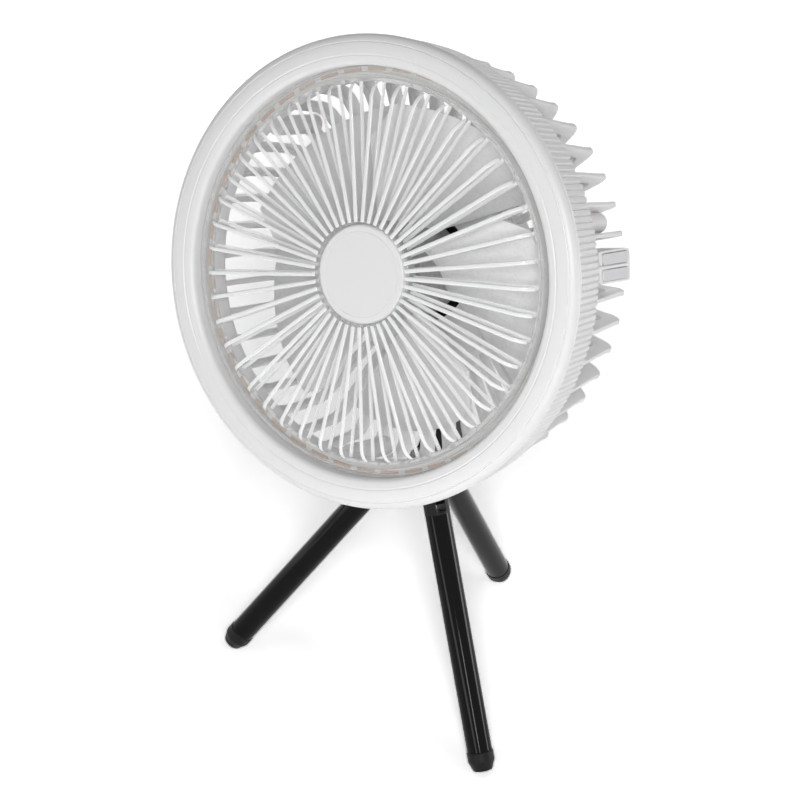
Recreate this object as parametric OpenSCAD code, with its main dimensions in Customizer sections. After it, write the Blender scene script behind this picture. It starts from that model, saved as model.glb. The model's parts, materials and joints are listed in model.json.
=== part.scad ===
// Portable camping fan: a round head with a ring light, tilting on a folding three-legged stand.
// Millimetres, +Z up, standing on z = 0 with the legs open and the head tilted up.
// Head pieces are drawn about the fan's own axis: +z' blows forward, z' = 0 is the bezel's edge.

/* [Head] */
// Outside diameter across the bezel's bead
head_d = 190.6; // [188:0.2:196]
// Opening diameter inside the bezel
bezel_open_d = 165.3; // [164.5:0.1:166]
// Diameter of the grip ring behind the bezel
grip_d = 190; // [188:0.2:192]
// Diameter of the grip ring at its rear edge
grip_rear_d = 186; // [185:0.2:188]
// Number of ridges round the grip ring
grip_ridges = 225; // [90:45:270]

/* [Front grille] */
// Number of spokes in the clear grille
spokes = 45; // [15:3:45]
// Thickness of one spoke
spoke_t = 1.2; // [0.8:0.1:1.6]
// Angle of the first spoke from the right-hand side
spoke_phase = 7.8; // [0:0.1:8]
// Diameter of the centre cap
cap_d = 40; // [36:0.5:41]

/* [Rear cage] */
// Number of fins round the cage
fins = 45; // [15:15:45]
// Thickness of one fin at its inner edge
fin_t = 3.2; // [2.4:0.1:3.6]
// Thickness of one fin at its outer edge
fin_edge_t = 1.6; // [1.2:0.1:2.4]
// Angle of the first fin from the right-hand side
fin_phase = 4.3; // [0:0.1:8]
// Diameter of the battery housing at the back
housing_d = 80; // [79:0.5:81]

/* [Impeller] */
// Number of blades
blades = 5; // [3:1:6]
// Radius at the blade tips
tip_r = 67; // [60:0.5:70]
// Radius of the impeller's hub
hub_r = 20.2; // [19.5:0.1:21]
// Degrees that a blade turns for each millimetre that it rises
blade_lead = 2.857; // [2:0.1:3.5]

/* [Stand] */
// Angle of an open leg from the vertical
leg_splay = 31.97; // [25:0.01:35]
// Distance from a leg's hinge to the end of its foot
leg_len = 124.3; // [104:0.1:144]
// Diameter of a leg's tube
leg_d = 11.3; // [10.5:0.1:12]
// Diameter of a rubber foot
foot_d = 11.9; // [11.7:0.1:13]
// Angle that the head is tilted up
tilt = 21.39; // [0:0.01:60]

/* [Hidden] */
$fn = 96;
white = "whitesmoke";
clear = "lightgray";
black = [0.1, 0.1, 0.1];

// where the stand's axis and the tilt pivot are
frame_y = 1.959;
hinge_r = 14.4;
foot_sink = 0.6;
foot_face_r = 4.3;
foot_l = 8.8;
hinge_z = leg_len * cos(leg_splay) + foot_face_r * sin(leg_splay) - foot_sink;
pivot_back = 76;
pivot_y = 19.32;
pivot_z = 209.25;
leg_turns = [-60, 60, 180];

// depths along the fan's axis
rim_back = -9.3;
lens_back = -3.6;
shelf_t = 1.5;
band_front = -1.5;
band_back = -21.2;
fin_back = -61;
housing_front = -42.5;
housing_back = -66;
cover_t = 2;
hub_front = -9.2;

// radii that neighbouring pieces share
open_r = bezel_open_d / 2;
shelf_r = 76.3;
wall_r = 84.4;
shell_r = 91.2;
shell_t = 1.6;
housing_r = housing_d / 2;
cover_screw_r = housing_r - 4.2;
pod_turn = fin_phase + 16;
pod_out = 90.2;
pod_front = -27;
pod_back = -54;
screw_turns = [28, 148, 268];

function arc(c, r, a0, a1, n) = [for (i = [0:n]) c + r * [cos(a0 + (a1 - a0) * i / n), sin(a0 + (a1 - a0) * i / n)]];
function polar(r, a) = [r * cos(a), r * sin(a)];

module placed() { translate([0, frame_y, 0]) children(); }

module at_head() {
    placed() translate([0, pivot_y, pivot_z]) rotate([90 - tilt, 0, 0]) translate([0, 0, pivot_back]) children();
}

module at_leg(turn) {
    placed() rotate([0, 0, turn]) translate([0, -hinge_r, hinge_z]) rotate([-leg_splay, 0, 0]) children();
}

// a ring, or a disc where the inner radius is 0
module ring(inner, outer, back, front) {
    rotate_extrude() translate([inner, back]) square([outer - inner, front - back]);
}

// a flat plate that stands on edge along a radius: its outline is drawn as (radius, depth)
module radial_plate(t) {
    rotate([90, 0, 0]) translate([0, 0, -t / 2]) linear_extrude(t) children();
}

module round_rect(w, h, r) {
    square([w - 2 * r, h], center = true);
    square([w, h - 2 * r], center = true);
    for (sx = [-1, 1]) {
        for (sy = [-1, 1]) {
            translate([sx * (w / 2 - r), sy * (h / 2 - r)]) circle(r);
        }
    }
}

module bezel_outline() {
    face_r = 88.1;
    difference() {
        union() {
            translate([face_r, -1.5]) circle(5.6);
            translate([head_d / 2 - 1.25, 0.1]) circle(1.25);
            translate([open_r, band_front]) square([head_d / 2 - 1.1 - open_r, 1.6]);
        }
        translate([face_r, -1.5]) circle(4);
        translate([60, band_front - 20]) square([50, 20]);
        translate([60, -8]) square([open_r - 60, 20]);
    }
    translate([open_r, rim_back]) square([wall_r - open_r, 9]);
    translate([shell_r - shell_t, -8]) square([shell_t, 10.6]);
}

module front_bezel() {
    color(white) at_head() rotate_extrude() bezel_outline();
}

module spoke_outline() {
    polygon(concat([[20.9, -1], [75.7, -4.9], [76.2, -3.1]], arc([69.9, -2.15], 7, 0, 80, 5), [[20.9, 6.4]]));
}

module front_grille() {
    color(clear) at_head() {
        for (k = [0:spokes - 1]) {
            rotate(spoke_phase + k * 360 / spokes) radial_plate(spoke_t) spoke_outline();
        }
        ring(0, 21.8, -1.6, 0.6);
        ring(cap_d / 2 + 0.2, 21.8, 0, 3.4);
        ring(shelf_r, open_r - 0.2, lens_back, -2.3);
        ring(78.8, 80.2, -3, 0.4);
    }
}

module grille_cap() {
    color(white) at_head() rotate_extrude() difference() {
        union() {
            translate([0, 0.6]) square([cap_d / 2, 3]);
            translate([0, 3]) square([cap_d / 2 - 1.2, 1.8]);
            translate([cap_d / 2 - 1.2, 3.6]) circle(1.2);
        }
        translate([16.9, 4.5]) square([0.5, 1]);
    }
}

module led_board() {
    color("ivory") at_head() ring(77.9, open_r - 0.3, rim_back, rim_back + 1);
}

module led_chips() {
    color("orange") at_head() translate([0, 0, rim_back + 1]) linear_extrude(0.8) intersection() {
        difference() {
            circle(81.9);
            circle(80.6);
        }
        for (k = [0:spokes - 1]) {
            rotate(spoke_phase + (k + 0.5) * 360 / spokes) polygon([[0, 0], [90, -4.4], [90, 4.4]]);
        }
    }
}

// fine rounded ridges, three points each
module ridge_outline(r) {
    step = 360 / grip_ridges;
    polygon([for (k = [0:grip_ridges - 1]) each [
        polar(r - 0.55, k * step), polar(r, (k + 0.3) * step), polar(r, (k + 0.7) * step)]]);
}

module grip_ring() {
    depth = band_front - band_back;
    color(white) at_head() translate([0, 0, band_front]) mirror([0, 0, 1])
        linear_extrude(height = depth, scale = grip_rear_d / grip_d) difference() {
            ridge_outline(grip_d / 2);
            circle(shell_r * grip_d / grip_rear_d + 0.1);
        }
}

module fin_outline() {
    polygon(concat([[83.4, band_back + 1], [90.6, band_back + 1], [90.6, band_back - 0.1], [92.2, band_back - 0.1]],
        arc([80.9, -55], 6, 10, -90, 6),
        [[housing_r + 0.8, fin_back], [housing_r + 0.8, fin_back + 7.5], [70, fin_back + 9]],
        arc([74.5, -44], 7, -70, -5, 4), [[83.2, band_back - 1]]));
}

// a fin thins out from the cage's wall towards its outer edge
module fin() {
    intersection() {
        radial_plate(fin_t + 1) fin_outline();
        translate([0, 0, fin_back - 1]) linear_extrude(50) polygon([[30, -fin_t / 2], [81, -fin_t / 2],
            [93, -fin_edge_t / 2], [93, fin_edge_t / 2], [81, fin_t / 2], [30, fin_t / 2]]);
    }
}

module pod_block(out, grow) {
    translate([(pod_out + 79) / 2 + out, 0, (pod_front + pod_back) / 2]) rotate([0, 90, 0])
        linear_extrude(pod_out - 79, center = true)
            round_rect(pod_front - pod_back + 2 * grow, 13 + 2 * grow, 1.6);
}

module rear_cage() {
    color(white) at_head() {
        difference() {
            union() {
                for (k = [0:fins - 1]) {
                    rotate(fin_phase + k * 360 / fins) fin();
                }
                rotate_extrude() {
                    translate([shelf_r, rim_back - shelf_t]) square([wall_r - shelf_r, shelf_t]);
                    translate([shelf_r, rim_back - shelf_t]) square([1.4, lens_back - rim_back + shelf_t]);
                    translate([open_r, band_back]) square([wall_r - open_r, rim_back - band_back]);
                    translate([open_r, band_back]) square([shell_r - open_r, 2]);
                    translate([shell_r - shell_t, band_back]) square([shell_t, -8 - band_back]);
                    translate([housing_r + 0.1, fin_back + 0.5]) square([2.2, 7.1]);
                }
                for (turn = screw_turns) {
                    rotate(fin_phase + turn) translate([80.4, 0, -50]) cylinder(r = 4.2, h = 50 + band_back + 1);
                }
            }
            rotate(pod_turn) {
                pod_block(0, 0);
                pod_block(3, -0.1);
            }
            for (turn = screw_turns) {
                rotate(fin_phase + turn) translate([80.4, 0, -51]) cylinder(r = 1.4, h = 15);
            }
        }
    }
}

module screw(head_r, head_h, shank_r, shank_l) {
    cylinder(r = head_r, h = head_h);
    translate([0, 0, head_h - 0.1]) cylinder(r = shank_r, h = shank_l + 0.1);
}

module cage_screws() {
    color("silver") at_head() for (turn = screw_turns) {
        rotate(fin_phase + turn) translate([80.4, 0, -51.6]) screw(2.6, 1.6, 1.35, 12);
    }
}

button_w = 4.4;
button_l = 22;
button_y = 3.2;
button_seat = 86;

module button_pocket(grow, inner, outer) {
    translate([(inner + outer) / 2, 0, (pod_front + pod_back) / 2]) rotate([0, 90, 0])
        linear_extrude(outer - inner, center = true) round_rect(button_l + 2 * grow, button_w + 2 * grow, 1);
}

module control_pod() {
    color(white) at_head() rotate(pod_turn) {
        difference() {
            pod_block(0, 0);
            translate([81, 0, (pod_front + pod_back) / 2]) cube([4, 10.6, 22], center = true);
            for (s = [-1, 1]) {
                translate([0, s * button_y, 0]) button_pocket(0.65, 82, button_seat);
                translate([0, s * button_y, 0]) button_pocket(0.25, 82, 92);
            }
        }
        translate([pod_out - 0.2, -0.5, pod_back + 3]) cube([0.9, 1, pod_front - pod_back - 6]);
    }
}

module push_button() {
    button_pocket(0, button_seat - 2, pod_out + 0.5);
    button_pocket(0.4, button_seat - 1.2, button_seat);
    translate([83.2, 0, (pod_front + pod_back) / 2]) rotate([0, 90, 0]) cylinder(r = 1.2, h = 1);
}

module fan_button() {
    color("lightgray") at_head() rotate(pod_turn) translate([0, button_y, 0]) push_button();
}

module light_button() {
    color("lightgray") at_head() rotate(pod_turn) translate([0, -button_y, 0]) push_button();
}

module switch_board() {
    color("green") at_head() rotate(pod_turn) {
        translate([80.2, 0, (pod_front + pod_back) / 2]) cube([1.4, 10.6, 22], center = true);
        for (s = [-1, 1]) {
            translate([81.5, s * button_y, (pod_front + pod_back) / 2]) cube([1.4, 3.6, 3.6], center = true);
        }
    }
}

module rear_housing() {
    wall = 1.8;
    color(white) at_head() {
        ring(housing_r - wall, housing_r, housing_back, housing_front);
        ring(23.4, housing_r, housing_front - 2, housing_front);
        ring(housing_r - 1, housing_r + 2, fin_back + 7.6, fin_back + 9);
        for (k = [0:3]) {
            rotate(45 + k * 90) translate([cover_screw_r, 0, housing_back + 0.3]) difference() {
                cylinder(r = 3.2, h = 21.7);
                translate([0, 0, -1]) cylinder(r = 1.45, h = 10);
            }
        }
    }
}

module motor_base() {
    color(black) at_head() {
        difference() {
            ring(0, 27, housing_front - 3.5, housing_front - 2);
            translate([0, 0, housing_front - 4]) cylinder(r = 2.4, h = 4);
        }
        ring(3.1, 4.5, housing_front - 2.2, -23);
        ring(2.4, 4.5, -27.5, -26.5);
        ring(3.1, 6, housing_front - 2.2, -37);
    }
}

module pole_outline() {
    circle(7);
    for (k = [0:8]) {
        rotate(k * 40) {
            translate([6, -1.2]) square([5, 2.4]);
        }
    }
    intersection() {
        difference() {
            circle(12.2);
            circle(10.6);
        }
        for (k = [0:8]) {
            rotate(k * 40) polygon([[0, 0], [20, -5.6], [20, 5.6]]);
        }
    }
}

module stator_core() {
    color("gray") at_head() translate([0, 0, -37]) linear_extrude(11) difference() {
        pole_outline();
        circle(4.55);
    }
}

module stator_windings() {
    color("orange") at_head() for (k = [0:8]) {
        rotate(k * 40) translate([8.8, 0, -31.5]) difference() {
            cube([2.8, 4.4, 13], center = true);
            cube([4, 2.5, 11.1], center = true);
        }
    }
}

module shaft_bearings() {
    color("silver") at_head() {
        ring(1.55, 3.05, -26.5, -23);
        ring(1.55, 3.05, housing_front - 2, housing_front + 1.5);
    }
}

module battery_cells() {
    color("steelblue") at_head() for (s = [-1, 1]) {
        translate([-32.5, s * 9.4, housing_back + 9.15]) rotate([0, 90, 0]) {
            cylinder(r = 9.15, h = 65);
        }
    }
}

module control_board() {
    color("green") at_head() {
        translate([-20, 20, -58]) cube([40, 12, 1.6]);
        for (x = [-12, 12]) {
            translate([x, 28, housing_back]) cylinder(r = 2, h = housing_back * -1 - 58);
        }
    }
}

module port_outline(grow) {
    round_rect(9 + 2 * grow, 3.2 + 2 * grow, 1.55 + grow);
}

port_x = 15;
port_y = -28;

module usb_socket() {
    color("silver") at_head() translate([port_x, port_y, housing_back - cover_t + 0.3]) {
        linear_extrude(7) difference() {
            port_outline(0);
            port_outline(-0.4);
        }
        translate([0, 0, 6]) linear_extrude(1) port_outline(0);
        translate([-3.2, -0.35, 1]) cube([6.4, 0.7, 5.2]);
    }
}

ear_in = 8.3;
ear_t = 4.2;

module ear_outline() {
    difference() {
        union() {
            circle(7.5);
            translate([-7.5, 0]) square([15, pivot_back + housing_back - cover_t + 0.5]);
        }
        circle(3.05);
    }
}

module rear_cover() {
    color(white) at_head() {
        difference() {
            ring(0, housing_r, housing_back - cover_t, housing_back);
            translate([port_x, port_y, housing_back - cover_t - 1]) linear_extrude(cover_t + 2) port_outline(0);
            for (k = [0:3]) {
                rotate(45 + k * 90) translate([cover_screw_r, 0, housing_back - cover_t - 1]) cylinder(r = 1.5, h = 4);
            }
        }
        for (s = [-1, 1]) {
            translate([s * (ear_in + ear_t / 2) - ear_t / 2, 0, -pivot_back]) rotate([90, 0, 90])
                linear_extrude(ear_t) ear_outline();
        }
    }
}

module cover_screws() {
    color("silver") at_head() for (k = [0:3]) {
        rotate(45 + k * 90) translate([cover_screw_r, 0, housing_back - cover_t - 1.2]) screw(2.5, 1.2, 1.4, 8);
    }
}

module tilt_bolt() {
    reach = ear_in + ear_t;
    color("dimgray") at_head() translate([0, 0, -pivot_back]) rotate([0, 90, 0]) {
        translate([0, 0, -reach - 2.6]) cylinder(r = 5.2, h = 2.6);
        translate([0, 0, -reach - 0.1]) cylinder(r = 3, h = 2 * reach + 3.4);
    }
}

module tilt_nut() {
    color("dimgray") at_head() translate([ear_in + ear_t, 0, -pivot_back]) rotate([0, 90, 0]) difference() {
        cylinder(r = 5.4, h = 3, $fn = 6);
        translate([0, 0, -1]) cylinder(r = 3.02, h = 5);
    }
}

function lead_edge(r) = -27 + 26 * (tip_r - r) / (tip_r - 19);
function trail_edge(r) = 47 - 13 * pow((r - 19) / (tip_r - 19), 4);

// the blade's outline seen from the front: a swept front edge and a rounded trailing corner
module blade_plan() {
    steps = 8;
    radii = [for (i = [0:steps]) 19 + (tip_r - 19) * i / steps];
    polygon(concat([for (r = radii) polar(r, lead_edge(r))],
        [for (i = [1:6]) polar(tip_r, lead_edge(tip_r) + (trail_edge(tip_r) - lead_edge(tip_r)) * i / 6)],
        [for (i = [1:steps]) polar(radii[steps - i], trail_edge(radii[steps - i]))]));
}

module blade() {
    rise = 28;
    intersection() {
        translate([0, 0, -41]) rotate(lead_edge(tip_r) - blade_lead)
            linear_extrude(height = rise, twist = -blade_lead * rise, slices = 16, $fn = 16)
                polygon([[18, -1.1], [tip_r + 1, -2.5], [tip_r + 1, 2.5], [18, 1.1]]);
        translate([0, 0, -45]) linear_extrude(40) blade_plan();
    }
}

module impeller() {
    color(clear) at_head() {
        difference() {
            union() {
                rotate_extrude() {
                    translate([0, -41]) square([hub_r, 41 + hub_front - 1.5]);
                    translate([0, hub_front - 3]) square([hub_r - 1.5, 3]);
                    translate([hub_r - 1.5, hub_front - 1.5]) circle(1.5);
                }
                for (k = [0:blades - 1]) {
                    rotate(k * 360 / blades) blade();
                }
            }
            translate([0, 0, -50]) cylinder(r = 16.6, h = 50 - 17.5);
            translate([0, 0, -18]) ring_void();
            translate([0, 0, -20]) cylinder(r = 1.52, h = 20);
        }
    }
}

module ring_void() {
    ring(4.5, 15, 0, 6);
}

module impeller_nut() {
    color("silver") at_head() difference() {
        translate([0, 0, hub_front]) cylinder(r = 3.2, h = 2.4, $fn = 6);
        translate([0, 0, hub_front - 1]) cylinder(r = 1.52, h = 5);
    }
}

module motor_rotor() {
    color("silver") at_head() {
        ring(15.1, 16.5, -40, -17.5);
        ring(1.52, 16.5, -18.7, -17.5);
    }
}

module rotor_magnet() {
    color("dimgray") at_head() ring(12.9, 15.05, -38, -22);
}

module motor_shaft() {
    color("silver") at_head() translate([0, 0, housing_front - 3.2]) cylinder(r = 1.5, h = hub_front + 2 - housing_front + 3.2);
}

module neck_outline() {
    difference() {
        union() {
            translate([pivot_y, pivot_z]) circle(7);
            polygon([[-8, 112], [-8, 117], [6, 117], [pivot_y - 6.6, 128], [pivot_y - 6.6, pivot_z - 2],
                [pivot_y + 6.6, pivot_z - 2], [pivot_y + 6.6, 122], [pivot_y + 3, 115], [8.5, 114.5], [6.8, 112]]);
        }
        translate([pivot_y, pivot_z]) circle(3.05);
    }
}

module neck() {
    color(black) placed() {
        difference() {
            translate([-6, 0, 0]) rotate([90, 0, 90]) linear_extrude(12) neck_outline();
            translate([0, 0, 100]) cylinder(r = 2.1, h = 30);
        }
        for (s = [-1, 1]) {
            translate([s * 7 - 1, pivot_y, pivot_z]) rotate([0, 90, 0]) difference() {
                cylinder(r = 7, h = 2);
                translate([0, 0, -1]) cylinder(r = 3.05, h = 4);
            }
        }
    }
}

module neck_screw() {
    color("dimgray") placed() translate([0, 0, 119.4]) mirror([0, 0, 1]) screw(4, 2.4, 2, 12);
}

hub_top = 112;
hub_low = 99;
tongue_t = 4;

module tripod_hub() {
    color(black) placed() {
        difference() {
            union() {
                translate([0, 0, hub_low]) cylinder(r = 8.2, h = hub_top - hub_low);
                for (turn = leg_turns) {
                    rotate(turn) translate([-tongue_t / 2, -hinge_r, hinge_z]) rotate([90, 0, 90])
                        linear_extrude(tongue_t) {
                            circle(5.2);
                            translate([0, -5.2]) square([9, 9.6]);
                        }
                }
            }
            for (turn = leg_turns) {
                rotate(turn) translate([-8, -hinge_r, hinge_z]) rotate([0, 90, 0]) cylinder(r = 1.52, h = 16);
            }
            translate([0, 0, hub_top - 13.5]) cylinder(r = 2.02, h = 20);
        }
    }
}

module hinge_pins() {
    color("silver") placed() for (turn = leg_turns) {
        rotate(turn) translate([-5.2, -hinge_r, hinge_z]) rotate([0, 90, 0]) cylinder(r = 1.5, h = 10.4);
    }
}

tube_top = -9;

// the leg's forked top, with a plug that is pressed into the tube
module leg_knuckle(turn) {
    color(black) at_leg(turn) {
        difference() {
            union() {
                sphere(r = leg_d / 2);
                translate([0, 0, tube_top]) cylinder(r = leg_d / 2, h = -tube_top);
            }
            translate([-tongue_t / 2 - 0.25, -8, tube_top + 1.2]) cube([tongue_t + 0.5, 16, 20]);
            translate([-7, 0, 0]) rotate([0, 90, 0]) cylinder(r = 1.55, h = 14);
        }
        translate([0, 0, tube_top - 12]) cylinder(r = 4.7, h = 12.6);
    }
}

foot_seam = foot_l - leg_len;

module leg_tube(turn) {
    color(black) at_leg(turn) ring(4.75, leg_d / 2, foot_seam, tube_top);
}

// a short rubber cap with a wide bevel round its flat end
module leg_foot(turn) {
    color(black) difference() {
        at_leg(turn) {
            rotate_extrude() polygon([[0, -leg_len], [foot_face_r, -leg_len], [foot_d / 2, 4.3 - leg_len],
                [foot_d / 2, foot_seam - 0.5], [foot_d / 2 - 0.5, foot_seam], [0, foot_seam]]);
            translate([0, 0, foot_seam - 1]) cylinder(r = 4.7, h = 9);
        }
        translate([-150, -150, -20]) cube([300, 300, 20]);
    }
}

module left_leg_knuckle() { leg_knuckle(leg_turns[0]); }
module left_leg_tube() { leg_tube(leg_turns[0]); }
module left_leg_foot() { leg_foot(leg_turns[0]); }
module right_leg_knuckle() { leg_knuckle(leg_turns[1]); }
module right_leg_tube() { leg_tube(leg_turns[1]); }
module right_leg_foot() { leg_foot(leg_turns[1]); }
module rear_leg_knuckle() { leg_knuckle(leg_turns[2]); }
module rear_leg_tube() { leg_tube(leg_turns[2]); }
module rear_leg_foot() { leg_foot(leg_turns[2]); }

front_bezel();
front_grille();
grille_cap();
led_board();
led_chips();
grip_ring();
rear_cage();
cage_screws();
control_pod();
fan_button();
light_button();
switch_board();
rear_housing();
motor_base();
stator_core();
stator_windings();
shaft_bearings();
battery_cells();
control_board();
usb_socket();
rear_cover();
cover_screws();
tilt_bolt();
tilt_nut();
impeller();
impeller_nut();
motor_rotor();
rotor_magnet();
motor_shaft();
neck();
neck_screw();
tripod_hub();
hinge_pins();
left_leg_knuckle();
left_leg_tube();
left_leg_foot();
right_leg_knuckle();
right_leg_tube();
right_leg_foot();
rear_leg_knuckle();
rear_leg_tube();
rear_leg_foot();
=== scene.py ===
import json
import math
import bmesh
import bpy
from mathutils import Matrix, Vector


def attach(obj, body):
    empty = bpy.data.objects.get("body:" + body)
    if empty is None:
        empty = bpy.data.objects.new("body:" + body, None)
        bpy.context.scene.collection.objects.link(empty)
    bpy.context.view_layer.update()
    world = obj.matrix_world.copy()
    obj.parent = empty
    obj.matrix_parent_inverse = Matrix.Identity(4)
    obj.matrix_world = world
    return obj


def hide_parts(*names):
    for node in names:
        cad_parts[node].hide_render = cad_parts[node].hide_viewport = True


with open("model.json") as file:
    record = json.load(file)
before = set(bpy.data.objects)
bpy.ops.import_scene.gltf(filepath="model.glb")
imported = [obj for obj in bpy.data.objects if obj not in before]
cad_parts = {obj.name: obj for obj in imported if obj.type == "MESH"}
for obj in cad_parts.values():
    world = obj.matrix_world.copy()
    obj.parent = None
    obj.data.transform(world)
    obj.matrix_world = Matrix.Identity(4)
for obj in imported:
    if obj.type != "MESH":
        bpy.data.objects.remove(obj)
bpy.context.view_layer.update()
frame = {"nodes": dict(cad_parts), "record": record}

nodes = frame["nodes"]
joints = {j["name"]: j for j in frame["record"]["behaviour"]["joints"]}
slots = {s["node"]: s["material_slot"] for s in frame["record"]["subparts"]}

# camera

cameraSettings = {
    "place": (0.51984, -0.830385, 0.83068),
    "right": (0.81829, 0.57187, 0.05793),
    "up": (-0.36712, 0.44243, 0.81822),
    "back": (0.44229, -0.69081, 0.57198),
    "lens": 124.89,
    "sensor": 36,
    "far": 10,
}


def placeCamera(s):
    bpy.ops.object.select_all(action="DESELECT")
    bpy.ops.object.camera_add(location=s["place"])
    cam = bpy.context.object
    cam.name = "studioCamera"
    turn = Matrix((s["right"], s["up"], s["back"])).transposed()
    cam.rotation_euler = turn.to_euler()
    cam.data.lens = s["lens"]
    cam.data.sensor_width = s["sensor"]
    cam.data.clip_end = s["far"]
    bpy.context.scene.camera = cam


placeCamera(cameraSettings)
bpy.context.scene.view_settings.view_transform = "Standard"
print("camera placed")

# studio

studioSettings = {
    "floorSize": 6.0,
    "paper": 0.92,
    "paperRoughness": 0.9,
    # the lens, mirrors and glass see a paler paper: this pale a metre from the key lamp, and paler
    # with the distance to the power of seenPower, up to mostSeen, which evens out how that lamp fades
    "paperSeen": 1.05,
    "seenPower": 3,
    "mostSeen": 7.0,
    "worldLight": 0.06,
    "worldSeen": 1.0,
    "aim": (0, -0.02, 0.17),
    "lamps": {  # place, size, power in watts
        # the key lamp stands just behind the lens, so that the fan hides its own shadow
        "keyLamp": ((0.5419, -0.8649, 0.8593), (0.3, 0.3), 5.9),
        "rightLamp": ((1.4, -0.85, 0.2), (0.8, 0.3), 2.6),
        "leftLamp": ((-1.3, -1.15, 0.2), (0.8, 0.3), 2.2),
        "frontLamp": ((0.0, -0.52, 0.08), (0.36, 0.07), 0.36),
        "frontRightLamp": ((0.37, -0.44, 0.2), (0.06, 0.08), 0.28),
        "leftStrip": ((-0.8, -1.45, 1.0), (0.9, 0.05), 1.2),
        "rightStrip": ((1.55, -0.1, 1.0), (0.05, 0.5), 0.9),
        "topLamp": ((0.4, 0.1, 1.5), (1.2, 1.2), 1.3),
        "rearLeftLamp": ((-1.7, 1.9, 0.2), (1.0, 0.3), 5.6),
        "rearRightLamp": ((1.8, 1.3, 0.2), (1.0, 0.3), 9),
    },
}


def mathNode(tree, operation, first, second=None):
    # each input is another node's output or a number
    node = tree.nodes.new("ShaderNodeMath")
    node.operation = operation
    for place, value in enumerate((first, second)):
        if isinstance(value, bpy.types.NodeSocket):
            tree.links.new(value, node.inputs[place])
        elif value is not None:
            node.inputs[place].default_value = value
    return node


def whiteForLens(material, plain, seen):
    # the lens, mirrors and glass see one shader, everything else meets the other
    tree = material.node_tree
    path = tree.nodes.new("ShaderNodeLightPath")
    straight = mathNode(tree, "MAXIMUM", path.outputs["Is Camera Ray"], path.outputs["Is Transmission Ray"])
    either = mathNode(tree, "MAXIMUM", straight.outputs[0], path.outputs["Is Glossy Ray"])
    mix = tree.nodes.new("ShaderNodeMixShader")
    tree.links.new(either.outputs[0], mix.inputs["Fac"])
    tree.links.new(plain, mix.inputs[1])
    tree.links.new(seen, mix.inputs[2])
    return mix.outputs[0]


def lightWorld(s):
    world = bpy.data.worlds.new("studioWorld")
    bpy.context.scene.world = world
    world.use_nodes = True
    tree = world.node_tree
    tree.nodes.clear()
    out = tree.nodes.new("ShaderNodeOutputWorld")
    shades = []
    for strength in (s["worldLight"], s["worldSeen"]):
        shade = tree.nodes.new("ShaderNodeBackground")
        shade.inputs["Color"].default_value = (1, 1, 1, 1)
        shade.inputs["Strength"].default_value = strength
        shades.append(shade.outputs[0])
    tree.links.new(whiteForLens(world, *shades), out.inputs["Surface"])


def softLamp(name, place, aim, size, power):
    bpy.ops.object.light_add(type="AREA", location=place)
    lamp = bpy.context.object
    lamp.name = name
    lamp.data.shape = "RECTANGLE"
    lamp.data.size = size[0]
    lamp.data.size_y = size[1]
    lamp.data.energy = power
    way = Vector(aim) - Vector(place)
    lamp.rotation_euler = way.to_track_quat("-Z", "Y").to_euler()


def buildFloor(s):
    bpy.ops.object.select_all(action="DESELECT")
    bpy.ops.mesh.primitive_plane_add(size=s["floorSize"], location=(0, 0, 0))
    floor = bpy.context.object
    floor.name = "studioFloor"
    material = bpy.data.materials.new("floorPaper")
    material.use_nodes = True
    tree = material.node_tree
    paper = tree.nodes["Principled BSDF"]
    paper.inputs["Base Color"].default_value = (s["paper"], s["paper"], s["paper"], 1)
    paper.inputs["Roughness"].default_value = s["paperRoughness"]
    place = tree.nodes.new("ShaderNodeTexCoord")
    reach = tree.nodes.new("ShaderNodeVectorMath")
    reach.operation = "DISTANCE"
    reach.inputs[1].default_value = s["lamps"]["keyLamp"][0]
    tree.links.new(place.outputs["Object"], reach.inputs[0])
    fade = mathNode(tree, "POWER", reach.outputs["Value"], s["seenPower"])
    even = mathNode(tree, "MULTIPLY", fade.outputs[0], s["paperSeen"])
    pale = mathNode(tree, "MINIMUM", even.outputs[0], s["mostSeen"])
    seen = tree.nodes.new("ShaderNodeBsdfDiffuse")
    tree.links.new(pale.outputs[0], seen.inputs["Color"])
    white = whiteForLens(material, paper.outputs[0], seen.outputs[0])
    tree.links.new(white, tree.nodes["Material Output"].inputs["Surface"])
    floor.data.materials.append(material)


lightWorld(studioSettings)
for lampName, (lampPlace, lampSize, lampPower) in studioSettings["lamps"].items():
    softLamp(lampName, lampPlace, studioSettings["aim"], lampSize, lampPower)
buildFloor(studioSettings)
print("studio lit")

# finishes

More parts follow.
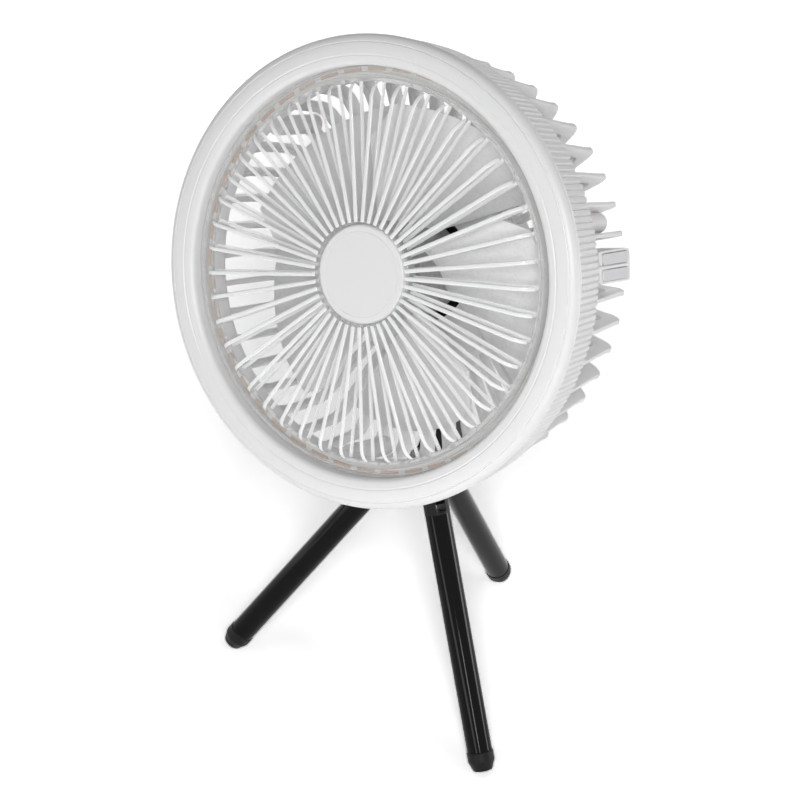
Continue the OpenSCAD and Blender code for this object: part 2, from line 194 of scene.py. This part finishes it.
finishSettings = {
    "whitePlastic": {"color": (0.86, 0.86, 0.865), "roughness": 0.36, "grain": 1600, "bump": 0.01},
    "cagePlastic": {"color": (0.905, 0.893, 0.896), "roughness": 0.4, "grain": 800, "bump": 0.03},
    "vanePlastic": {"color": (0.93, 0.925, 0.93), "roughness": 0.28, "grain": 700, "bump": 0.02},
    # the same plastic as the vanes, painted darker: painted shade for the shadow behind the cap
    "hubPaintedShade": {"color": (0.36, 0.36, 0.37), "roughness": 0.28, "grain": 700, "bump": 0.02},
    "blackPlastic": {"color": (0.009, 0.009, 0.0095), "roughness": 0.4, "grain": 1200, "bump": 0.05,
                     "gloss": 0.15},
    "tubeLacquer": {"color": (0.002, 0.002, 0.0022), "roughness": 0.08, "grain": 400, "bump": 0.01,
                    "gloss": 0.12},
    "footRubber": {"color": (0.008, 0.008, 0.009), "roughness": 0.42, "grain": 1500, "bump": 0.08,
                   "gloss": 0.15},
    "buttonPlastic": {"color": (0.72, 0.72, 0.74), "roughness": 0.45, "grain": 1500, "bump": 0.03},
    "plainSteel": {"color": (0.62, 0.62, 0.64), "roughness": 0.28, "grain": 800, "bump": 0.02, "metal": 1.0},
    "darkSteel": {"color": (0.08, 0.08, 0.085), "roughness": 0.35, "grain": 800, "bump": 0.02, "metal": 1.0},
    "boardGreen": {"color": (0.03, 0.16, 0.06), "roughness": 0.4, "grain": 900, "bump": 0.03},
    "boardWhite": {"color": (0.8, 0.8, 0.77), "roughness": 0.5, "grain": 900, "bump": 0.03},
    "copperWire": {"color": (0.55, 0.22, 0.08), "roughness": 0.35, "grain": 2500, "bump": 0.1, "metal": 1.0},
    "phosphor": {"color": (0.5, 0.25, 0.07), "roughness": 0.5, "grain": 3000, "bump": 0.05},
    "cellSleeve": {"color": (0.05, 0.13, 0.33), "roughness": 0.35, "grain": 500, "bump": 0.02},
}

# how the grain varies every finish: the darkest tint, the span of roughness, the height in metres
grainSettings = {"detail": 3, "tint": 0.985, "smoother": 0.85, "rougher": 1.15, "height": 0.0004}


def plainFinish(name, s, common):
    material = bpy.data.materials.new(name)
    material.use_nodes = True
    tree = material.node_tree
    shader = tree.nodes["Principled BSDF"]
    place = tree.nodes.new("ShaderNodeTexCoord")
    grain = tree.nodes.new("ShaderNodeTexNoise")
    grain.inputs["Scale"].default_value = s["grain"]
    grain.inputs["Detail"].default_value = common["detail"]
    tree.links.new(place.outputs["Object"], grain.inputs["Vector"])
    tint = tree.nodes.new("ShaderNodeValToRGB")
    low = [c * common["tint"] for c in s["color"]]
    tint.color_ramp.elements[0].color = (*low, 1)
    tint.color_ramp.elements[1].color = (*s["color"], 1)
    tree.links.new(grain.outputs["Fac"], tint.inputs["Fac"])
    tree.links.new(tint.outputs["Color"], shader.inputs["Base Color"])
    spread = tree.nodes.new("ShaderNodeMapRange")
    spread.inputs["To Min"].default_value = s["roughness"] * common["smoother"]
    spread.inputs["To Max"].default_value = s["roughness"] * common["rougher"]
    tree.links.new(grain.outputs["Fac"], spread.inputs["Value"])
    tree.links.new(spread.outputs["Result"], shader.inputs["Roughness"])
    bump = tree.nodes.new("ShaderNodeBump")
    bump.inputs["Strength"].default_value = s["bump"]
    bump.inputs["Distance"].default_value = common["height"]
    tree.links.new(grain.outputs["Fac"], bump.inputs["Height"])
    tree.links.new(bump.outputs["Normal"], shader.inputs["Normal"])
    shader.inputs["Metallic"].default_value = s.get("metal", 0.0)
    shader.inputs["Specular IOR Level"].default_value = s.get("gloss", 0.5)
    return material


finishes = {name: plainFinish(name, s, grainSettings) for name, s in finishSettings.items()}

clearSettings = {  # how opaque and white on flanks and on edges, the white edges being a painted highlight, and how much more where it is skimmed, a painted sheen
    "clearPlastic": {"flank": 0.08, "edge": 0.92, "paintedSheen": 0.1, "color": (0.95, 0.955, 0.96)},
    "clearRim": {"flank": 0.16, "edge": 0.24, "paintedSheen": 0.2, "color": (0.93, 0.935, 0.94)},
}

# what both share, and the tilts between which a flank turns into an edge
clearCommon = {"roughness": 0.08, "ior": 1.49, "flankUpTo": 0.12, "edgeFrom": 0.5, "skim": 0.3}


def clearFinish(name, s, common):
    # clear where it is seen through; the edges that face along the axis are painted white and opaque, a
    # painted highlight for the light they carry, and skimmed faces are whiter still, a painted sheen
    material = bpy.data.materials.new(name)
    material.use_nodes = True
    tree = material.node_tree
    shader = tree.nodes["Principled BSDF"]
    shader.inputs["Base Color"].default_value = (*s["color"], 1)
    shader.inputs["Roughness"].default_value = common["roughness"]
    shader.inputs["IOR"].default_value = common["ior"]
    place = tree.nodes.new("ShaderNodeTexCoord")
    along = tree.nodes.new("ShaderNodeVectorMath")
    along.operation = "DOT_PRODUCT"
    along.inputs[1].default_value = Vector(joints["fan_spin"]["axis"]).normalized()
    tree.links.new(place.outputs["Normal"], along.inputs[0])
    tilt = mathNode(tree, "ABSOLUTE", along.outputs["Value"])
    # painted highlight: faces turned along the axis go from clear to opaque white
    edge = tree.nodes.new("ShaderNodeMapRange")
    edge.interpolation_type = "SMOOTHSTEP"
    edge.inputs["From Min"].default_value = common["flankUpTo"]
    edge.inputs["From Max"].default_value = common["edgeFrom"]
    edge.inputs["To Min"].default_value = s["flank"]
    edge.inputs["To Max"].default_value = s["edge"]
    tree.links.new(tilt.outputs[0], edge.inputs["Value"])
    # painted sheen: more opaque white where the surface is seen skimmed
    skim = tree.nodes.new("ShaderNodeLayerWeight")
    skim.inputs["Blend"].default_value = common["skim"]
    share = mathNode(tree, "MULTIPLY", skim.outputs["Facing"], s["paintedSheen"])
    whole = mathNode(tree, "ADD", edge.outputs["Result"], share.outputs[0])
    whole.use_clamp = True
    tree.links.new(whole.outputs[0], shader.inputs["Alpha"])
    return material


for clearName, clearValues in clearSettings.items():
    finishes[clearName] = clearFinish(clearName, clearValues, clearCommon)

slotFinish = {
    "white_plastic": "whitePlastic", "clear_plastic": "clearPlastic", "smoky_plastic": "vanePlastic",
    "black_plastic": "blackPlastic", "button_plastic": "buttonPlastic", "black_tube": "tubeLacquer",
    "rubber": "footRubber", "steel": "plainSteel", "black_steel": "darkSteel", "magnet": "darkSteel",
    "copper": "copperWire", "led": "phosphor", "board": "boardGreen", "board_white": "boardWhite",
    "cell": "cellSleeve",
}


def paintNodes():
    for name, piece in nodes.items():
        finish = finishes[slotFinish[slots[name]]]
        if not piece.material_slots:
            piece.data.materials.append(finish)
        for slot in piece.material_slots:
            slot.material = finish


paintNodes()
print("frame painted")

# where the head stands

mm = 0.001
hair = 1e-6  # points nearer than this, in metres, are the same one
pivotBack = 0.076  # from the bezel's edge back to the tilt pivot, along the fan's axis


def headPlace():
    blow = Vector(joints["fan_spin"]["axis"]).normalized()
    side = Vector((1, 0, 0))
    turn = Matrix((side, blow.cross(side), blow)).transposed()
    return Matrix.Translation(Vector(joints["head_tilt"]["pos_m"]) + blow * pivotBack) @ turn.to_4x4()


# making pieces

def deselectAll():
    if bpy.context.object and bpy.context.object.mode == "EDIT":
        bpy.ops.object.mode_set(mode="OBJECT")
    bpy.ops.object.select_all(action="DESELECT")


def selectWhere(piece, test):
    bpy.ops.mesh.select_mode(type="VERT")
    bpy.ops.mesh.select_all(action="DESELECT")
    mesh = bmesh.from_edit_mesh(piece.data)
    for v in mesh.verts:
        v.select = test(v.co)
    mesh.select_flush(True)
    bmesh.update_edit_mesh(piece.data)


def selectOpenEdges():
    bpy.ops.mesh.select_mode(type="EDGE")
    bpy.ops.mesh.select_all(action="DESELECT")
    bpy.ops.mesh.select_non_manifold()


def openEdit():
    # the new primitive keeps its place in its mesh, and opens with all of it selected
    bpy.ops.object.transform_apply(location=True, rotation=True, scale=True)
    bpy.ops.object.mode_set(mode="EDIT")
    bpy.ops.mesh.select_all(action="SELECT")


def closeEdit():
    # all faces point outwards before the piece leaves edit mode
    bpy.ops.mesh.select_all(action="SELECT")
    bpy.ops.mesh.normals_make_consistent(inside=False)
    bpy.ops.object.mode_set(mode="OBJECT")


def drawOut(x, y, z):
    bpy.ops.mesh.extrude_region_move(TRANSFORM_OT_translate={"value": (x, y, z)})


def widen(scale):
    bpy.ops.transform.resize(value=(scale, scale, 1), center_override=(0, 0, 0))


def paintPiece(piece, finish):
    piece.data.materials.clear()
    piece.data.materials.append(finishes[finish])


def applyModifier(piece, kind, **values):
    modifier = piece.modifiers.new(kind.lower(), kind)
    for key, value in values.items():
        setattr(modifier, key, value)
    bpy.context.view_layer.objects.active = piece
    bpy.ops.object.modifier_apply(modifier=modifier.name)


def bevelEdges(piece, width, segments, sharp):
    # rounds the edges that turn by more than sharp degrees
    applyModifier(piece, "BEVEL", width=width * mm, segments=segments, limit_method="ANGLE",
                  angle_limit=math.radians(sharp))


def turnedPiece(profile, steps, closed=True):
    # a circle drawn out ring by ring along the profile's points, which are (radius, depth) in mm
    deselectAll()
    points = [(r * mm, z * mm) for r, z in profile]
    startR, startZ = points[0]
    bpy.ops.mesh.primitive_circle_add(vertices=steps, radius=startR, location=(0, 0, startZ))
    piece = bpy.context.object
    openEdit()
    for (r1, z1), (r2, z2) in zip(points, points[1:]):
        drawOut(0, 0, z2 - z1)
        widen(r2 / r1)
    ends = [points[0], points[-1]]

    def onEnd(co):
        return any(abs(co.xy.length - r) < hair and abs(co.z - z) < hair for r, z in ends)

    if closed:
        selectWhere(piece, onEnd)
        bpy.ops.mesh.select_mode(type="EDGE")
        bpy.ops.mesh.bridge_edge_loops()
    else:
        selectOpenEdges()
        bpy.ops.mesh.edge_face_add()
    closeEdit()
    return piece


def joinAll(pieces):
    deselectAll()
    for piece in pieces:
        piece.select_set(True)
    bpy.context.view_layer.objects.active = pieces[0]
    if len(pieces) > 1:
        bpy.ops.object.join()
    return bpy.context.object


def ringOf(piece, count, start):
    # copies round the head's own axis, each with its own mesh, joined into one
    copies = []
    for k in range(count):
        deselectAll()
        piece.select_set(True)
        bpy.context.view_layer.objects.active = piece
        bpy.ops.object.duplicate(linked=False)
        copy = bpy.context.object
        copy.rotation_euler = (0, 0, math.radians(start + k * 360 / count))
        copies.append(copy)
    deselectAll()
    for copy in copies:
        copy.select_set(True)
    bpy.context.view_layer.objects.active = copies[0]
    bpy.ops.object.transform_apply(location=True, rotation=True, scale=True)
    whole = joinAll(copies)
    bpy.data.objects.remove(piece, do_unlink=True)
    return whole


def seatPiece(piece, name, finish, body, stands, smooth=35):
    deselectAll()
    piece.select_set(True)
    bpy.context.view_layer.objects.active = piece
    piece.name = name
    piece.matrix_world = head
    bpy.ops.object.transform_apply(location=True, rotation=True, scale=True)
    bpy.ops.object.shade_smooth_by_angle(angle=math.radians(smooth))
    if finish:
        paintPiece(piece, finish)
    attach(piece, body)
    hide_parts(*stands)
    return piece


def arcPoints(centre, radius, start, end, count):
    turns = [math.radians(start + (end - start) * i / count) for i in range(count + 1)]
    return [(centre[0] + radius * math.cos(a), centre[1] + radius * math.sin(a)) for a in turns]


head = headPlace()
print("head placed")

# bezel, cap and grip band

bezelSettings = {
    "steps": 240,
    "smooth": 25,
    "profile": [  # (radius, depth), from the inner wall over the face and the bead to the back
        (82.65, -9.3), (82.65, 0.7), (82.72, 1.3), (83.0, 1.95), (83.5, 2.5), (84.2, 2.85), (84.9, 3.02),
        (86.4, 3.28), (86.7, 3.14), (87.0, 3.16), (87.3, 3.38), (89.2, 3.4), (91.0, 3.12), (91.75, 2.95),
        (91.85, 2.55), (92.1, 2.4), (92.35, 2.5), (92.5, 2.7), (93.0, 2.55), (93.9, 2.1), (94.6, 1.45),
        (95.1, 0.6), (95.28, -0.1), (95.1, -0.8), (94.7, -1.3), (94.2, -1.5), (91.2, -1.5), (91.2, -8.0),
        (89.6, -8.0), (89.6, 1.0), (88, 1.8), (84.4, 0.2), (84.4, -9.3),
    ],
}


def buildBezel(s):
    piece = turnedPiece(s["profile"], s["steps"])
    return seatPiece(piece, "smoothBezel", "whitePlastic", "head", ["front_bezel"], s["smooth"])


capSettings = {
    "radius": 20.0, "face": 4.8, "back": 0.6, "edge": 1.2, "edgeSteps": 6, "backEdge": 0.4,
    "groove": 16.9, "grooveWidth": 0.5, "grooveDepth": 0.3, "grooveSlope": 0.1,
    "crown": [(9, 0.05), (1, 0.08)],  # radius, and how far the face rises there
    "steps": 160,
    "smooth": 40,
}


def buildCap(s):
    edge = arcPoints((s["radius"] - s["edge"], s["face"] - s["edge"]), s["edge"], 0, 90, s["edgeSteps"])
    top, inner, slope = s["face"], s["groove"], s["grooveSlope"]
    outer, bottom = inner + s["grooveWidth"], top - s["grooveDepth"]
    profile = [(s["radius"] - s["backEdge"], s["back"]), (s["radius"], s["back"] + s["backEdge"]), *edge,
               (outer, top), (outer - slope, bottom), (inner + slope, bottom), (inner, top),
               *[(r, top + rise) for r, rise in s["crown"]]]
    piece = turnedPiece(profile, s["steps"], closed=False)
    return seatPiece(piece, "roundCap", "whitePlastic", "head", ["grille_cap"], s["smooth"])


bandSettings = {
    "radius": 95.0, "rearRadius": 93.0, "inside": 91.8, "front": -1.5, "back": -21.2,
    "ridges": 225, "perRidge": 4, "valley": 0.05,  # the share of a ridge on each side of its valley's line
    "groove": 0.8,
    "lip": 0.5, "lipDepth": 0.7,  # the front edge is that much narrower, over that depth
    "runOut": 0.5,  # the depth over which the ridges begin, and the rear edge narrows by rearLip
    "rearLip": 0.7,
    "smooth": 20,
}


def buildBand(s):
    deselectAll()
    front = s["radius"] - s["lip"]
    rear = s["rearRadius"] - s["rearLip"]
    bpy.ops.mesh.primitive_circle_add(vertices=s["ridges"] * s["perRidge"], radius=front * mm,
                                      location=(0, 0, s["front"] * mm))
    piece = bpy.context.object
    openEdit()
    drawOut(0, 0, -s["lipDepth"] * mm)
    widen(s["radius"] / front)
    drawOut(0, 0, -s["runOut"] * mm)
    pitch = 2 * math.pi / s["ridges"]
    level = (s["front"] - s["lipDepth"] - s["runOut"]) * mm

    def onLevel(co):
        return abs(co.z - level) < hair

    def inValley(co):
        share = (math.atan2(co.y, co.x) / pitch) % 1
        return onLevel(co) and (share < s["valley"] or share > 1 - s["valley"])

    selectWhere(piece, inValley)
    widen((s["radius"] - s["groove"]) / s["radius"])
    selectWhere(piece, onLevel)
    drawOut(0, 0, s["back"] * mm - level + s["runOut"] * mm)
    widen(s["rearRadius"] / s["radius"])
    drawOut(0, 0, -s["runOut"] * mm)
    widen(rear / s["rearRadius"])
    # the rear face, then the inner wall back to the front edge
    drawOut(0, 0, 0)
    widen(s["inside"] / rear)
    drawOut(0, 0, (s["front"] - s["back"]) * mm)
    selectOpenEdges()
    bpy.ops.mesh.bridge_edge_loops()
    closeEdit()
    return seatPiece(piece, "ridgedBand", "whitePlastic", "head", ["grip_ring"], s["smooth"])


# clear grille

grilleSettings = {
    "spokes": 45, "phase": 7.8, "thick": 1.8, "edge": 0.6, "edgeSegments": 3, "sharp": 50,
    "root": (20.9, -1.0, 6.4),  # radius, lowest and highest point
    "tip": (77.0, -5.0),  # radius and lowest point
    "shoulder": (69.9, -2.15), "shoulderRadius": 7.0,
    "straight": 1.2,  # how far past the shoulder's centre the straight top runs
    "inner": [23, 30, 42, 56, 66], "outer": [73, 74.6, 75.7, 76.4, 76.85],  # radii of the cuts along a spoke
    "rim": [(76.3, -3.6), (76.3, -2.6), (76.6, -2.3), (78.5, -2.3), (78.7, 0.0), (79.1, 0.4), (79.9, 0.4),
            (80.3, 0.0), (80.5, -2.3), (82.3, -2.3), (82.45, -2.5), (82.45, -3.6)],
    "centre": [(5, -1.6), (21.4, -1.6), (21.8, -1.2), (21.8, 3.0), (21.5, 3.4), (20.5, 3.4), (20.25, 3.1),
               (20.25, 0.6), (5, 0.6)],
    "rimSteps": 240, "centreSteps": 180,
}


def buildSpoke(s):
    rootX, rootLow, rootHigh = s["root"]
    tipX, tipLow = s["tip"]
    shoulderX, shoulderZ = s["shoulder"]
    straightEnd = shoulderX + s["straight"]

    def low(x):
        return rootLow + (tipLow - rootLow) * (x - rootX) / (tipX - rootX)

    def shoulderTop(x):
        return shoulderZ + math.sqrt(s["shoulderRadius"] ** 2 - (x - shoulderX) ** 2)

    def high(x):
        if x <= straightEnd:
            return rootHigh + (shoulderTop(straightEnd) - rootHigh) * (x - rootX) / (straightEnd - rootX)
        return shoulderTop(x)

    stations = [rootX, *s["inner"], straightEnd, *s["outer"]]
    deselectAll()
    bpy.ops.mesh.primitive_plane_add(size=1, location=(rootX * mm, 0, 0), rotation=(0, math.pi / 2, 0))
    piece = bpy.context.object
    openEdit()
    tall = (rootHigh - rootLow) * mm
    bpy.ops.transform.resize(value=(1, s["thick"] * mm, tall), center_override=(rootX * mm, 0, 0))
    bpy.ops.transform.translate(value=(0, 0, (rootHigh + rootLow) / 2 * mm))
    for x1, x2 in zip(stations, stations[1:]):
        drawOut((x2 - x1) * mm, 0, (low(x2) + high(x2) - low(x1) - high(x1)) / 2 * mm)
        grow = (high(x2) - low(x2)) / (high(x1) - low(x1))
        middle = (high(x2) + low(x2)) / 2 * mm
        bpy.ops.transform.resize(value=(1, 1, grow), center_override=(x2 * mm, 0, middle))
    closeEdit()
    bevelEdges(piece, s["edge"], s["edgeSegments"], s["sharp"])
    return piece


def buildGrille(s):
    spokes = ringOf(buildSpoke(s), s["spokes"], s["phase"])
    rim = turnedPiece(s["rim"], s["rimSteps"])
    centre = turnedPiece(s["centre"], s["centreSteps"])
    paintPiece(spokes, "clearPlastic")
    paintPiece(rim, "clearRim")
    paintPiece(centre, "clearRim")
    grille = joinAll([spokes, rim, centre])
    return seatPiece(grille, "clearGrille", None, "head", ["front_grille"])


# rear cage

cageSettings = {
    "fins": 45, "phase": 4.3, "thick": 2.6, "edgeThick": 1.6, "taperFrom": 81, "taperTo": 93,
    "round": 0.45, "roundSegments": 2, "sharp": 60,
    # a fin's (radius, depth) along its outer and its inner edge, first in front of the corner
    "finFront": [((90.6, -20.3), (83.4, -20.3)), ((92.1, -21.35), (83.6, -22.2)),
                 ((90.5, -31.5), (84.6, -31.5)), ((88.6, -42.5), (83.4, -41.0))],
    # round the corner: centre, radius, first and last turn, steps
    "outerArc": ((80.9, -55), 6, 10, -90, 6), "innerArc": ((75.7, -45.5), 7, -5, -70, 6),
    "finBack": [((74, -61), (70, -52)), ((60, -61), (60, -52.6)), ((41.2, -61), (41.2, -53.5))],
    "shell": [(76.3, -10.8), (76.3, -3.6), (77.7, -3.6), (77.7, -9.3), (84.4, -9.3), (84.4, -19.2),
              (89.6, -19.2), (89.6, -8), (91.2, -8), (91.2, -21.2), (83.0, -21.2), (82.65, -20.8),
              (82.65, -10.8)],
    "innerRing": [(40.1, -60.5), (40.1, -53.4), (42.3, -53.4), (42.3, -60.5)],
    "ringSteps": 240,
    "bossTurns": [32.3, 152.3, 272.3], "bossRadius": 4.2, "bossPlace": 80.4, "bossLong": 29.8,
    "bossMiddle": -35.1, "bossSteps": 40, "bossEdge": 0.5, "bossSharp": 30,
}


def buildFin(s):
    corner = 1  # half the first plane's side, in mm
    close = 2e-5  # metres
    stations = [*s["finFront"], *zip(arcPoints(*s["outerArc"]), arcPoints(*s["innerArc"])), *s["finBack"]]
    deselectAll()
    (ro, zo), (ri, zi) = stations[0]
    bpy.ops.mesh.primitive_plane_add(size=2 * corner * mm, location=(ro * mm, 0, zo * mm))
    piece = bpy.context.object
    openEdit()
    selectWhere(piece, lambda co: co.y > 0)
    bpy.ops.mesh.delete(type="VERT")
    # the two corners that are left become the fin's outer and inner edge
    selectWhere(piece, lambda co: co.x > ro * mm)
    bpy.ops.transform.translate(value=(-corner * mm, corner * mm, 0))
    selectWhere(piece, lambda co: co.x < (ro - corner / 2) * mm)
    bpy.ops.transform.translate(value=((ri - ro + corner) * mm, corner * mm, (zi - zo) * mm))
    bpy.ops.mesh.select_all(action="SELECT")
    for (outer1, inner1), (outer2, inner2) in zip(stations, stations[1:]):
        move = ((outer2[0] - outer1[0]) * mm, 0, (outer2[1] - outer1[1]) * mm)
        drawOut(*move)
        # the inner edge goes its own way: it alone is moved on, then both are selected again
        lag = ((inner2[0] - inner1[0]) * mm - move[0], 0, (inner2[1] - inner1[1]) * mm - move[2])
        mesh = bmesh.from_edit_mesh(piece.data)
        edge = [v for v in mesh.verts if v.select]
        goal = Vector((outer2[0] * mm, 0, outer2[1] * mm))
        for v in edge:
            v.select = (v.co - goal).length > close
        mesh.select_flush(True)
        bpy.ops.transform.translate(value=lag)
        for v in edge:
            v.select = True
        mesh.select_flush(True)
        bmesh.update_edit_mesh(piece.data)
    closeEdit()
    applyModifier(piece, "SOLIDIFY", thickness=s["thick"] * mm, offset=0)
    # each fin thins towards its outer edge
    bpy.ops.object.mode_set(mode="EDIT")
    for (x, z), _ in stations:
        if x > s["taperFrom"]:
            share = (x - s["taperFrom"]) / (s["taperTo"] - s["taperFrom"])
            thin = 1 - share * (1 - s["edgeThick"] / s["thick"])
            selectWhere(piece, lambda co: abs(co.x - x * mm) < close and abs(co.z - z * mm) < close)
            bpy.ops.transform.resize(value=(1, thin, 1), center_override=(x * mm, 0, z * mm))
    bpy.ops.object.mode_set(mode="OBJECT")
    bevelEdges(piece, s["round"], s["roundSegments"], s["sharp"])
    return piece


def buildBoss(s, turn):
    deselectAll()
    across = s["bossPlace"] * mm * math.cos(math.radians(turn))
    up = s["bossPlace"] * mm * math.sin(math.radians(turn))
    bpy.ops.mesh.primitive_cylinder_add(vertices=s["bossSteps"], radius=s["bossRadius"] * mm,
                                        depth=s["bossLong"] * mm, location=(across, up, s["bossMiddle"] * mm))
    boss = bpy.context.object
    bpy.ops.object.transform_apply(location=True, rotation=True, scale=True)
    bevelEdges(boss, s["bossEdge"], s["roundSegments"], s["bossSharp"])
    return boss


def buildCage(s):
    fins = ringOf(buildFin(s), s["fins"], s["phase"])
    rings = [turnedPiece(s[name], s["ringSteps"]) for name in ("shell", "innerRing")]
    bosses = [buildBoss(s, turn) for turn in s["bossTurns"]]
    cage = joinAll([fins, *rings, *bosses])
    return seatPiece(cage, "finnedCage", "cagePlastic", "head", ["rear_cage"])


# impeller

impellerSettings = {
    "vanes": 5, "tip": 67.0, "root": 19.0, "thick": 1.7, "edge": 0.6, "edgeSegments": 2, "sharp": 60,
    "sweepDepth": -40, "first": -27, "last": 47, "steps": 20,  # where the sweep starts, its turns and steps
    "lead": 0.35,  # how far forward it goes for each degree
    "cuts": 7,
    # an edge runs from one (radius, turn) to the next
    "leadingEdge": ((19.0, -1.0), (67.0, -27.0)),
    "rearEdges": [((19.0, 47.0), (54.0, 44.0)), ((54.0, 44.0), (67.0, 34.0))],
    "hub": [(1.6, -9.2), (18.6, -9.2), (19.6, -9.6), (20.1, -10.5), (20.2, -11.5), (20.2, -41), (16.6, -41),
            (16.6, -17.5), (1.6, -17.5)],
    "hubSteps": 160,
}


def buildVane(s):
    # a line from hub to tip, swept round the axle and forward as it goes, then trimmed
    deselectAll()
    long = (s["tip"] - s["root"]) * mm
    middle = (s["tip"] + s["root"]) / 2 * mm
    bpy.ops.mesh.primitive_plane_add(size=long, location=(middle, long / 2, s["sweepDepth"] * mm))
    vane = bpy.context.object
    openEdit()
    selectWhere(vane, lambda co: co.y > long / 2)
    bpy.ops.mesh.delete(type="VERT")
    bpy.ops.mesh.select_all(action="SELECT")
    bpy.ops.mesh.subdivide(number_cuts=s["cuts"])
    step = (s["last"] - s["first"]) / s["steps"]
    for _ in range(s["steps"]):
        drawOut(0, 0, s["lead"] * step * mm)
        bpy.ops.transform.rotate(value=-math.radians(step), orient_axis="Z", center_override=(0, 0, 0))
    bpy.ops.mesh.select_all(action="SELECT")
    bpy.ops.transform.rotate(value=-math.radians(s["first"]), orient_axis="Z", center_override=(0, 0, 0))

    def spot(radius, turn):
        around = math.radians(turn)
        return Vector((radius * mm * math.cos(around), radius * mm * math.sin(around), 0))

    for (inner, outer), side in [(s["leadingEdge"], 1), *[(line, -1) for line in s["rearEdges"]]]:
        a, b = spot(*inner), spot(*outer)
        normal = (b - a).cross(Vector((0, 0, 1))).normalized() * side
        bpy.ops.mesh.select_all(action="SELECT")
        bpy.ops.mesh.bisect(plane_co=a, plane_no=normal, clear_outer=True)
    closeEdit()
    applyModifier(vane, "SOLIDIFY", thickness=s["thick"] * mm, offset=0)
    bevelEdges(vane, s["edge"], s["edgeSegments"], s["sharp"])
    return vane


def buildImpeller(s):
    vanes = ringOf(buildVane(s), s["vanes"], 0)
    hub = turnedPiece(s["hub"], s["hubSteps"])
    paintPiece(vanes, "vanePlastic")
    # the hub gets the vanes' plastic painted darker, a painted shade
    paintPiece(hub, "hubPaintedShade")
    impeller = joinAll([vanes, hub])
    return seatPiece(impeller, "vanedImpeller", None, "impeller", ["impeller"])


buildBezel(bezelSettings)
buildCap(capSettings)
buildBand(bandSettings)
print("front ring made")
buildGrille(grilleSettings)
print("grille made")
buildCage(cageSettings)
print("cage made")
buildImpeller(impellerSettings)
print("impeller made")
